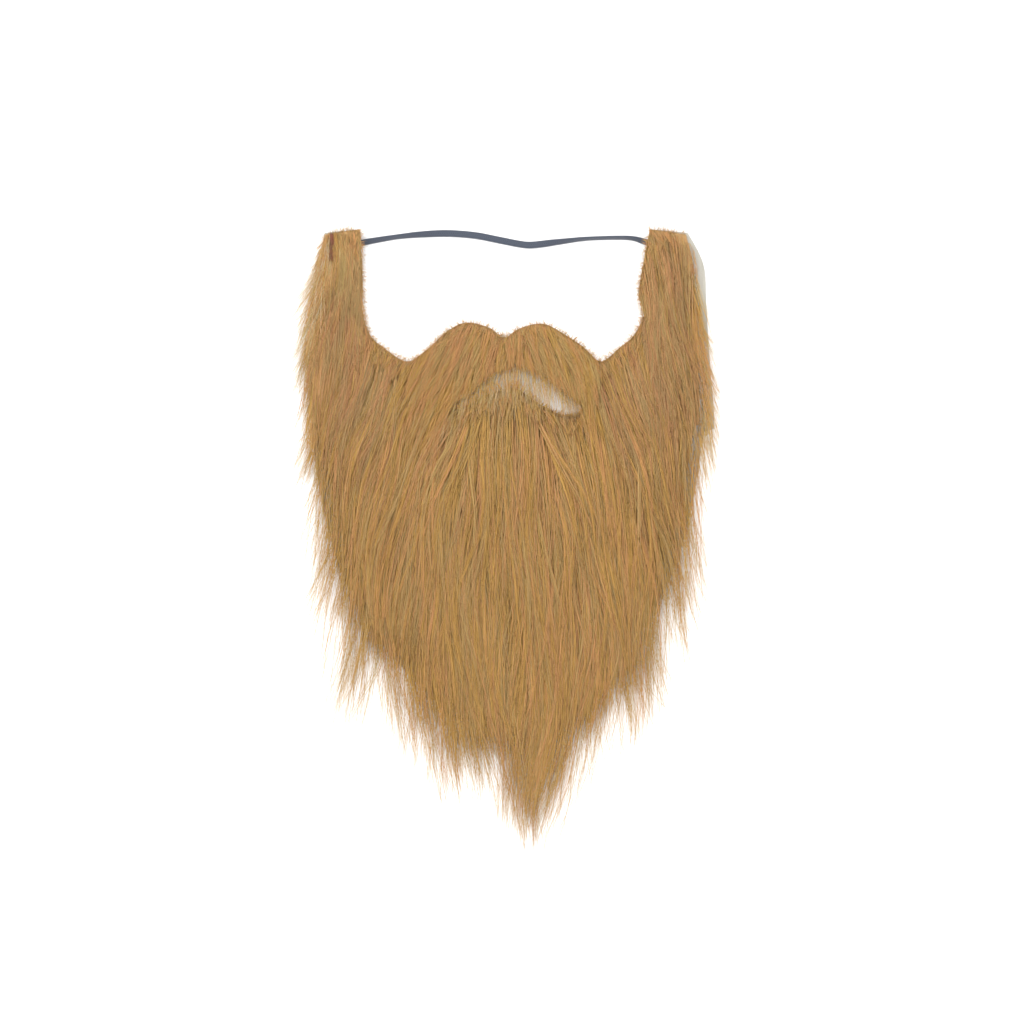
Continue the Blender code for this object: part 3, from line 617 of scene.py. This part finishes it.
def pile_top(x, y):
    """The top of the pile over the table: from the rim to the crown on a quarter sine, and past the cloth's
    edge a straight fall to the tips."""
    past = read_map(CLOTH_MAP, x, y)
    crown = np.interp(y, PILE_HEIGHTS[:, 0], PILE_HEIGHTS[:, 1])
    rim = np.interp(y, PILE_HEIGHTS[:, 0], PILE_HEIGHTS[:, 2])
    over = rim + (crown - rim) * np.sin(np.clip(-past / RIM_REACH, 0.0, 1.0) * np.pi / 2)
    return over + (FRINGE_TIP_HEIGHT - rim) * np.clip(past / FRINGE_FALL, 0.0, 1.0)


# the lower left corner of the field that the roots are looked for in, and its width and height
FIELD_CORNER = (-110.0, -96.0)
FIELD_SIZE = (220.0, 260.0)


def rooted(spacing, where, rng):
    """Roots on a staggered grid, each shifted at random in its cell, kept where the pile grows and where
    the given test holds."""
    columns, rows = (int(side / spacing) for side in FIELD_SIZE)
    row, column = np.meshgrid(np.arange(rows), np.arange(columns), indexing="ij")
    x = FIELD_CORNER[0] + (column + 0.5 * (row % 2) + rng.uniform(-0.5, 0.5, row.shape)) * spacing
    y = FIELD_CORNER[1] + (row + rng.uniform(-0.5, 0.5, row.shape)) * spacing
    x, y = x.ravel(), y.ravel()
    grows = (read_map(PILE_MAP, x, y) < -0.1) & (read_map(SLOT_MAP, x, y) > 0.2) & where(x, y)
    return x[grows], y[grows]


def edge_way(x, y, grid):
    """The unit vector straight out over the nearest edge, from differences of a distance map."""
    across = read_map(grid, x + 1, y) - read_map(grid, x - 1, y)
    up = read_map(grid, x, y + 1) - read_map(grid, x, y - 1)
    return np.column_stack([across, up]) / 2.0


# each lock's line has this many equal steps
LINE_STEPS = 24


def combed_lines(x, y, length, rng, stray=5.0, fan=1.0, outwards=0.0):
    """The line of each lock, a point at each of equal steps along the combing, turned by a lock's own lean,
    which spreads by stray degrees, and by a slow wave along it. fan scales how far the combing leans from
    straight down, and outwards is the share by which the lock turns out over the nearest edge instead."""
    own = np.radians(rng.normal(0.0, stray, len(x)))
    swing = np.radians(rng.uniform(2.0, 7.0, len(x)))
    start = rng.uniform(0.0, 2 * np.pi, len(x))
    out = edge_way(x, y, np.maximum(PILE_MAP, -SLOT_MAP))
    lines = np.empty((len(x), LINE_STEPS + 1, 2))
    spot = np.column_stack([x, y])
    for k in range(LINE_STEPS + 1):
        lines[:, k] = spot
        lean = fan * lean_at(spot[:, 0], spot[:, 1])
        across = (1.0 - outwards) * np.sin(lean) + outwards * out[:, 0]
        down = (1.0 - outwards) * np.cos(lean) - outwards * out[:, 1]
        lean = np.arctan2(across, down) + own + swing * np.sin(start + 0.36 * k)
        spot = spot + (length / LINE_STEPS)[:, None] * np.column_stack([np.sin(lean), -np.cos(lean)])
    return lines


def slot_edges(x):
    """The heights of the mouth slot's lower and upper edge at each place across."""
    slot = np.array(MOUTH_SLOT)
    return np.interp(x, slot[:, 0], slot[:, 1]), np.interp(x, slot[:, 0], slot[:, 2])


def veil(x, y):
    """How far into the mouth slot a place is: 0 at the slot's upper edge, 1 at its lower edge and more just
    below it. It is 0 outside the slot."""
    lower, upper = slot_edges(x)
    within = (x > MOUTH_SLOT[0][0]) & (x < MOUTH_SLOT[-1][0]) & (y < upper) & (y > lower - 6.0)
    return np.where(within, (upper - y) / np.maximum(upper - lower, 1.5), 0.0)


# dark to pale; the darkest is the painted shadow in the fold's crease
SHADES = (
    (0.190, 0.070, 0.035), (0.347, 0.217, 0.085), (0.421, 0.224, 0.086), (0.449, 0.270, 0.098),
    (0.490, 0.272, 0.092), (0.518, 0.306, 0.094), (0.560, 0.358, 0.122), (0.660, 0.550, 0.380),
)
# golden, reddish, olive: the three lots of fibre that the pile is mixed from, each a tint over the shades
LOTS = ((0.995, 1.003, 0.78), (1.085, 0.970, 1.10), (0.925, 1.030, 1.12))
# painted shade at the root: the share of its colour that a hair keeps there, where it lies deep in the pile
ROOT_PAINTED_SHADE = 0.97


def dyed_finish():
    """The pile's colour, from the strands' own map: U picks the strand's lot of fibre, by thirds, and its
    shade within the lot, and V darkens its root with painted shade. The palest shade is the same in every
    lot."""
    finish, tree, shader = new_finish("tan_pile", SHADES[4], 0.55)
    shader.inputs["Specular IOR Level"].default_value = 0.3
    place = tree.nodes.new("ShaderNodeUVMap")
    place.uv_map = "OFBake"
    parts = tree.nodes.new("ShaderNodeSeparateXYZ")
    tree.links.new(place.outputs["UV"], parts.inputs[0])
    dye = tree.nodes.new("ShaderNodeValToRGB")
    palest = len(SHADES) - 1
    for lot, tint in enumerate(LOTS):
        for k, colour in enumerate(SHADES):
            tinted = np.array(colour) * (tint if k < palest else (1.0, 1.0, 1.0))
            stop = dye.color_ramp.elements.new((lot + 0.01 + 0.98 * k / palest) / len(LOTS))
            stop.color = (*tinted, 1.0)
    dye.color_ramp.elements[0].color = dye.color_ramp.elements[1].color
    dye.color_ramp.elements[-1].color = (*SHADES[-1], 1.0)
    tree.links.new(parts.outputs["X"], dye.inputs["Fac"])
    # along V the root is darkened a little: painted shade of the pile's depths
    length = tree.nodes.new("ShaderNodeValToRGB")
    for stop, grey in zip(length.color_ramp.elements, (ROOT_PAINTED_SHADE, 1.0)):
        stop.color = (grey, grey, grey, 1.0)
    length.color_ramp.elements[1].position = 0.4
    tree.links.new(parts.outputs["Y"], length.inputs["Fac"])
    shaded = tree.nodes.new("ShaderNodeMix")
    shaded.data_type = "RGBA"
    shaded.blend_type = "MULTIPLY"
    shaded.inputs[0].default_value = 1.0
    tree.links.new(dye.outputs["Color"], shaded.inputs[6])
    tree.links.new(length.outputs["Color"], shaded.inputs[7])
    tree.links.new(shaded.outputs[2], shader.inputs["Base Color"])
    return finish


TAN_PILE = dyed_finish()
# a strand is this much flatter than wide
FLATNESS = 0.5
# the share of thin strays, how many of the fringe's lengths further they reach, and their share of thickness
STRAY_SHARE = 0.1
STRAY_SPILL = 0.8
STRAY_THICK = 0.55
# how much the shade differs from lock to lock and from hair to hair
LOCK_CONTRAST = 0.075
HAIR_CONTRAST = 0.04
# how finely a strand is searched for the place where it is cut, and how many roots are matched at a time
CUT_STEPS = 30
BLOCK = 2000


def hair_mesh(name, line, thick, spin, taper):
    """A mesh of three-sided tubes along the lines, shape (strands, stations, 3) in millimetres. Each is
    closed at its root and ends in a point. Also gives, for each face corner of one strand, which of its
    vertices it is on."""
    number, rings = len(line), line.shape[1] - 1
    run = np.gradient(line, axis=1)
    run /= np.linalg.norm(run, axis=2, keepdims=True)
    beside = np.cross(run, (0.0, 0.0, 1.0))
    beside /= np.maximum(np.linalg.norm(beside, axis=2, keepdims=True), 1e-6)
    above = np.cross(beside, run)
    turn = (spin[:, None] + np.arange(3) * 2 * np.pi / 3)[:, None, :, None]
    round_it = np.cos(turn) * beside[:, :-1, None] + FLATNESS * np.sin(turn) * above[:, :-1, None]
    radius = thick[:, None, None, None] * taper[None, :-1, None, None]
    tubes = line[:, :-1, None] + radius * round_it
    places = np.concatenate([tubes.reshape(number, -1, 3), line[:, -1:]], axis=1) * 0.001

    tip = 3 * rings
    sides = [(3 * j + c, 3 * j + (c + 1) % 3) for j in range(rings - 1) for c in range(3)]
    quads = [(here, here + 3, after + 3, after) for here, after in sides]
    points = [(tip - 3 + c, tip, tip - 3 + (c + 1) % 3) for c in range(3)] + [(0, 1, 2)]
    corner = np.array([index for face in quads + points for index in face])
    sizes = np.array([4] * len(quads) + [3] * len(points))
    all_corners = (corner[None] + (tip + 1) * np.arange(number)[:, None]).ravel()
    begins = np.append(0, np.cumsum(np.tile(sizes, number)))[:-1]
    mesh = bpy.data.meshes.new(name)
    mesh.vertices.add((tip + 1) * number)
    mesh.vertices.foreach_set("co", places.ravel())
    mesh.loops.add(len(all_corners))
    mesh.loops.foreach_set("vertex_index", all_corners.astype(np.int32))
    mesh.polygons.add(len(begins))
    mesh.polygons.foreach_set("loop_start", begins.astype(np.int32))
    mesh.update(calc_edges=True)
    return mesh, corner


def nearest_lock(x, y, lines):
    """Which lock's line begins nearest to each root, and how far away squared, worked out in blocks."""
    lock, away = np.empty(len(x), int), np.empty(len(x))
    for start in range(0, len(x), BLOCK):
        block = slice(start, start + BLOCK)
        squares = (x[block, None] - lines[:, 0, 0]) ** 2 + (y[block, None] - lines[:, 0, 1]) ** 2
        lock[block] = squares.argmin(1)
        away[block] = squares.min(1)
    return lock, away


def strands(
    name, x, y, length, lines, line_length, rng, thick=0.27, shade=0.5, gather=0.35, curl=0.35,
    lay=(0.62, 0.97), stand=3.5, slot_reach=None, lock_radius=99.0, contrast=1.0, rings=5, push=0.0,
    flare=0.0, roam=1.0, tip_shade=0.0,
):
    """A piece of fine strands, each a closed three-sided tube about thick millimetres wide that tapers to a
    point over as many rings. A strand follows the line of its nearest lock, if that is within lock_radius, at
    its own distance from it, which closes by the share gather towards the tip, and it waves to both sides by
    curl millimetres at most. It is cut where it leaves the pile's reach by more than its own spill, which
    grows with roam, where it passes WIDEST, and where it hangs too far into the slot. Some strands are thin
    strays that reach further. A strand stands up from the cloth over the length stand, to a share of the
    pile's top set by lay. Near the cut edge it first spreads out over the edge, by up to push millimetres,
    and near the outer sides its tip stands out by flare millimetres more or less. Its shade runs from 0,
    dark, to 1, pale, spread out by contrast and shifted towards the tip by tip_shade."""
    near, away = nearest_lock(x, y, lines)
    near, x, y, length = (values[away < lock_radius**2] for values in (near, x, y, length))
    count = len(x)
    offset = np.column_stack([x, y]) - lines[near, 0]
    outward = edge_way(x, y, PILE_MAP)
    # the tips stand out where the nearest edge faces sideways, but not over the bare strip's top
    sideways_out = (outward[:, 0] * np.sign(x) > 0.2) & ((x < 0.0) | (y < 125.0))
    flares = flare * rng.exponential(1.0, count) * np.exp(read_map(PILE_MAP, x, y) / 8.0) * sideways_out
    held = push * rng.uniform(0.1, 1.0, count) * np.exp(read_map(PILE_MAP, x, y) / 2.0) + 0.01
    wave, phase = rng.uniform(18.0, 45.0, count), rng.uniform(0.0, 2 * np.pi, count)
    amount = curl * rng.uniform(0.2, 1.0, count)
    closes = gather * rng.uniform(0.6, 1.2, count)

    def at(way):
        """Places on the table at distances way (strands, places) along the strands."""
        along = np.sqrt(way**2 + held[:, None] ** 2) - held[:, None]
        step = np.clip(along / line_length[near, None] * LINE_STEPS, 0.0, LINE_STEPS - 0.001)
        k = step.astype(int)
        here, there = lines[near[:, None], k], lines[near[:, None], k + 1]
        on_line = here + (step - k)[..., None] * (there - here)
        share = way / length[:, None]
        beside = offset[:, None] * (1.0 - np.minimum(closes, 0.95)[:, None] * share**0.8)[..., None]
        sideways = amount[:, None] * np.sin(2 * np.pi * way / wave[:, None] + phase[:, None])
        sideways = sideways * np.minimum(1.0, way / 12.0)
        out = 0.8 * held[:, None] * (1.0 - np.exp(-1.5 * way / held[:, None])) + flares[:, None] * share**1.3
        spread = outward[:, None] * out[..., None]
        place = on_line + beside + spread
        return place[..., 0] + sideways, place[..., 1]

    tries = np.linspace(0.0, 1.0, CUT_STEPS + 1)[None] * length[:, None]
    stub = np.minimum(3.0, 0.2 * length)[:, None]
    px, py = at(tries)
    is_stray = rng.uniform(0.0, 1.0, count) < STRAY_SHARE
    round_face = (py > 60.0) & (np.abs(px) < 84.0)
    fade = np.where(round_face, FACE_FADE[0], np.interp(py, FADE[:, 0], FADE[:, 1]))
    depth = np.where(px < 5.0, np.interp(py, FADE[:, 0], FADE[:, 2]), np.interp(py, FADE[:, 0], FADE[:, 3]))
    depth = np.where((px < CORNER_TUFT[0]) & (py < CORNER_TUFT[1]), CORNER_TUFT[2], depth)
    depth = np.where(round_face, FACE_FADE[1], depth)
    spill = rng.normal(0.0, 0.35, len(lines))[near] + roam * rng.exponential(1.0, count)
    spill = np.minimum(spill + np.where(is_stray, STRAY_SPILL, 0.0), 5.0)
    stops = (read_map(REACH_MAP, px, py) > fade * (spill[:, None] - depth)) & (tries > stub)
    stops |= np.abs(px) > WIDEST
    if slot_reach is not None:
        allowed = slot_reach(px) * rng.uniform(0.25, 1.15, count)[:, None]
        stops |= (veil(px, py) > allowed) & (y > slot_edges(x)[1] - 1.0)[:, None]
    first = np.where(stops.any(1), stops.argmax(1), CUT_STEPS)
    whole = tries[np.arange(count), first] * rng.uniform(0.93, 1.0, count)
    keep = whole > 1.15 * stub[:, 0]
    stations = 0.5 - 0.5 * np.cos(np.linspace(0.0, np.pi, rings + 1))
    taper = np.minimum(1.0, 0.75 + 2.5 * stations) * np.sqrt(1.0 - stations**3)
    way = stations[None] * whole[:, None]
    px, py = at(way)
    past = read_map(CLOTH_MAP, px, py)
    dropped = np.clip((past + 1.0) / 9.0, 0.0, 1.0)
    low = (CLOTH_THICK + 0.7) * (1 - dropped) + 0.25 * dropped + cloth_rise(px, py)
    layer = rng.uniform(lay[0], lay[1], count)[:, None]
    share = np.clip(0.8 * layer + 0.2 * way / length[:, None], 0.0, 1.0)
    lifted = 1.0 - np.exp(-(way + 0.3) / stand)
    pz = low + np.maximum(pile_top(px, py) + cloth_rise(px, py) - 0.3 - low, 0.3) * share * lifted
    pz[:, -1] = np.maximum(pz[:, -1] - 0.25, 0.2)
    line = np.stack([px, py, pz], -1)[keep]
    own_thick = (0.5 * thick * rng.uniform(0.7, 1.3, count) * np.where(is_stray, STRAY_THICK, 1.0))[keep]
    spin = rng.uniform(0.0, 2 * np.pi, count)[keep]
    mesh, corner = hair_mesh(name, line, own_thick, spin, taper)

    # the shade varies in slow patches, and the outer side of the left sideburn is bleached at its top
    bleached = 0.22 * np.clip((-88.5 - x) / 4.0, 0.0, 1.0) * np.clip((y - 112.0) / 18.0, 0.0, 1.0)
    patch = 0.06 * np.sin(0.09 * x + 0.13 * y + 2.0) * np.sin(0.12 * x - 0.05 * y) + bleached
    lock_shade = rng.normal(0.0, LOCK_CONTRAST * contrast, len(lines))[near]
    own_shade = (patch + lock_shade + rng.normal(0.0, HAIR_CONTRAST * contrast, count))[keep]
    # the share of golden fibre is larger on the chin than over the lip
    golden = np.interp(y, (40.0, 85.0, 105.0), (0.42, 0.32, 0.14))
    pick = np.clip(rng.uniform(0.0, 1.0, len(lines))[near] + rng.normal(0.0, 0.12, count), 0.0, 1.0)
    lot = np.where(pick < golden, 0, np.where(pick < 0.5 * (1.0 + golden), 1, 2))[keep]
    ring_of, side_of = corner // 3, np.where(corner == 3 * rings, 1, corner % 3)
    paling = 1.0 - 0.8 * stations[ring_of] ** 2
    pale = shade + own_shade[:, None] * paling[None] + tip_shade * stations[ring_of][None]
    u = (lot[:, None] + 0.02 + 0.96 * np.clip(pale, 0.0, 1.0)) / len(LOTS) + 0.0006 * (side_of - 1)[None]
    v = np.clip(stations[ring_of][None] * (whole / length)[keep][:, None], 0.01, 0.99) + 0.001 * side_of[None]
    uv = np.stack([u, v], -1).astype(np.float32)
    mesh.uv_layers.new(name="OFBake").data.foreach_set("uv", uv.ravel())
    mesh.shade_smooth()
    piece = new_piece(name, mesh, TAN_PILE)
    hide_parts("fur_pile")


def pile_length(y):
    """The length of the pile by the height of its root: shorter up the sideburns, longest on the chin."""
    heights = (-92.0, -60.0, 0.0, 60.0, 90.0, 130.0, 157.0)
    return np.interp(y, heights, (88.0, 86.0, 74.0, 58.0, 46.0, 40.0, 30.0))


def the_same(value):
    """A function that gives this value at every place."""
    return lambda place: np.full_like(place, value)


def mouth_sides(x, y):
    """Left and right of the mouth slot, at its height: where the sideburns and the moustache reach down."""
    return (y > 64) & ((x < -28) | (x > 38))


def grown(
    name, seed, spacing, lock_gap, where, length=pile_length, shade=0.5, stray=5.0, fan=1.0, outwards=0.0,
    **manner,
):
    """A stretch of pile: locks about lock_gap apart and strands about spacing apart, rooted where the test
    holds, each strand with its own length."""
    rng = np.random.default_rng(seed)
    lock_x, lock_y = rooted(lock_gap, where, rng)
    line_length = length(lock_y) * 1.3
    lines = combed_lines(lock_x, lock_y, line_length, rng, stray, fan, outwards)
    x, y = rooted(spacing, where, rng)
    own = length(y) * rng.uniform(0.72, 1.2, len(x))
    strands(name, x, y, own, lines, line_length, rng, shade=shade, **manner)


grown(
    "pile_left_sideburn", 11, 0.98, 3.6, lambda x, y: (y > 64) & (x < -46),
    shade=0.36, rings=4, push=2.0, flare=3.0,
)
grown(
    "pile_right_sideburn", 12, 0.98, 3.6, lambda x, y: (y > 64) & (x > 44),
    shade=0.38, rings=4, push=2.0, flare=3.0,
)

# The moustache: the same plush over the lip, short at its top edge and combed out to both sides from its
# middle. Its lowest hairs hang over the mouth slot like a veil.


def moustache_length(y):
    """Shorter towards the top edge."""
    return np.interp(y, (66.0, 80.0, 95.0, 110.0), (26.0, 20.0, 20.0, 18.0))


def slot_reach(x):
    """How far the moustache's own hairs hang into the slot, as a share of its height, at the most."""
    return np.interp(x, (-28.0, -20.0, -8.0, 4.0, 16.0, 26.0, 34.0), (0.8, 0.6, 0.3, 0.2, 0.35, 0.3, 0.4))


grown(
    "pile_moustache", 13, 0.80, 3.0, lambda x, y: (x >= -46) & (x <= 44) & ((y > 76) | mouth_sides(x, y)),
    length=moustache_length, slot_reach=slot_reach, thick=0.22, stand=2.0, rings=4, shade=0.56,
    tip_shade=0.08, push=2.0, fan=0.85,
)

# The chin: the widest stretch of plush, with the longest pile. It is grown in bands from the top down, so
# that each lies over the roots of the next.
grown(
    "pile_upper_chin", 14, 1.22, 4.0, lambda x, y: (y <= 78) & (y > 26) & ~mouth_sides(x, y),
    flare=4.5, rings=4,
)
grown("pile_middle_chin", 15, 1.25, 4.2, lambda x, y: (y <= 26) & (y > -20), flare=5.0, rings=4)
grown("pile_lower_chin", 16, 1.20, 4.2, lambda x, y: (y <= -20) & (y > -60), flare=4.0, rings=4)
grown("pile_chin_point", 17, 0.98, 4.0, lambda x, y: y <= -60)

# The veil: the thinnest and palest hairs of the moustache, rooted along the slot's upper edge and hanging
# across it, so that the slot shows as a pale crescent and not as a clean hole.


def over_slot(x, y):
    """Within a few millimetres above the slot's upper edge."""
    return (y > slot_edges(x)[1] - 1.0) & (read_map(SLOT_MAP, x, y) < 5.5)


grown(
    "pile_veil", 20, 0.72, 0.8, over_slot, length=the_same(30.0), thick=0.16, stand=1.5, rings=4,
    slot_reach=lambda x: np.interp(x, (12.0, 22.0), (5.0, 1.5)), lay=(0.2, 0.7), gather=0.0, shade=0.70,
    tip_shade=0.25, curl=0.5, stray=9.0, fan=0.4,
)

# The rim of the plush: where it was cut, the first few millimetres stand up short and dense along the tops
# of the sideburns, round the cheeks, over the moustache and round the slot.


def near_cut(x, y):
    """Within a few millimetres of the cut edge over the face, or of the slot."""
    return ((y > 86) & (read_map(PILE_MAP, x, y) > -6.0)) | (read_map(SLOT_MAP, x, y) < 5.0)


grown(
    "pile_rim", 18, 0.80, 1.6, near_cut, length=the_same(8.0), lay=(0.35, 0.95), stand=1.3, thick=0.24,
    gather=0.1, curl=0.3, stray=16.0, rings=3, slot_reach=the_same(0.35), shade=0.55, push=1.5,
)


def cut_hairs(x, y):
    """Within a millimetre and a half of the cut edge round the face."""
    return (y > 84) & (read_map(PILE_MAP, x, y) > -1.5) & (np.abs(x) < 89.0)


grown(
    "pile_cut_edge", 24, 0.36, 0.6, cut_hairs, length=the_same(4.6), lay=(0.2, 0.9), stand=0.8, thick=0.13,
    gather=0.0, curl=0.1, rings=2, shade=0.60, outwards=1.0, stray=30.0, roam=1.5,
)


def under_slot(x, y):
    """Within two millimetres below the slot's lower edge."""
    lower, upper = slot_edges(x)
    return (read_map(SLOT_MAP, x, y) < 2.0) & (y < 0.5 * (lower + upper))


grown(
    "pile_slot_edge", 26, 0.50, 0.7, under_slot,
    length=lambda y: np.interp(y, (65.0, 70.0, 75.5), (2.5, 3.0, 5.8)), lay=(0.3, 0.9), stand=1.0,
    thick=0.22, gather=0.0, curl=0.1, rings=3, shade=0.60, outwards=1.0, stray=14.0,
)

# The wisps: the palest, thinnest hairs stand out all round the fringe, past the ends of the locks. On the
# right they hang over the strip that is bare of pile, but not at its top.


def side_edge(x, y):
    """Within a few millimetres of the pile's outer edge, down to the foot of the sideburns."""
    return (read_map(PILE_MAP, x, y) > -4.0) & (y > 50) & (np.abs(x) > 80) & ((x < 0) | (y < 136))


def fringe_edge(x, y):
    """Within some millimetres of the chin's edge."""
    return (read_map(PILE_MAP, x, y) > -9.0) & (y <= 50)


grown(
    "pile_side_wisps", 21, 0.68, 3.0, side_edge, length=the_same(34.0), shade=0.80, thick=0.16,
    gather=0.1, stand=2.0, rings=4, flare=6.0, stray=8.0, roam=3.5,
)
grown(
    "pile_fringe_wisps", 23, 1.35, 3.0, fringe_edge, shade=0.75, thick=0.18, gather=0.1, curl=0.9, flare=11.0,
    stray=9.0, roam=4.0, lay=(0.1, 0.6),
)

# The fluff: along the outer edge of the left sideburn, down from its top, the fibre is brushed out sideways,
# short and pale.
grown(
    "pile_left_fluff", 25, 0.50, 1.0, lambda x, y: (x < -86) & (y > 100) & (read_map(PILE_MAP, x, y) > -2.5),
    length=the_same(9.0), shade=0.75, thick=0.16, gather=0.0, stand=1.5, rings=3, outwards=0.35,
    stray=9.0, roam=1.6, lay=(0.3, 0.9),
)

# The fold: at the top of the left sideburn the plush is bent over, and its crease is painted as a shadow:
# a short line of thick, dark hairs that lie on top of the pile.
grown(
    "pile_fold_shadow", 22, 0.42, 2.0, lambda x, y: (np.abs(x + 88.0) < 0.8) & (y > 146), length=the_same(6.0),
    shade=0.0, thick=0.34, lay=(0.95, 1.0), stand=1.2, gather=0.1, rings=3, contrast=0.3,
)

# The top locks: single locks far apart, which lie over the rest of the pile of the chin. They are the
# longest and gathered tightly, and a little paler than the pile under them: partly their own paler fibre,
# partly a painted highlight on the locks that lie on top.
grown(
    "pile_top_locks", 19, 0.66, 9.5, lambda x, y: y < 80, length=lambda y: pile_length(y) * 1.15,
    lay=(0.85, 1.02), shade=0.58, gather=0.5, lock_radius=1.3, curl=0.25, contrast=0.7, stray=6.5,
)
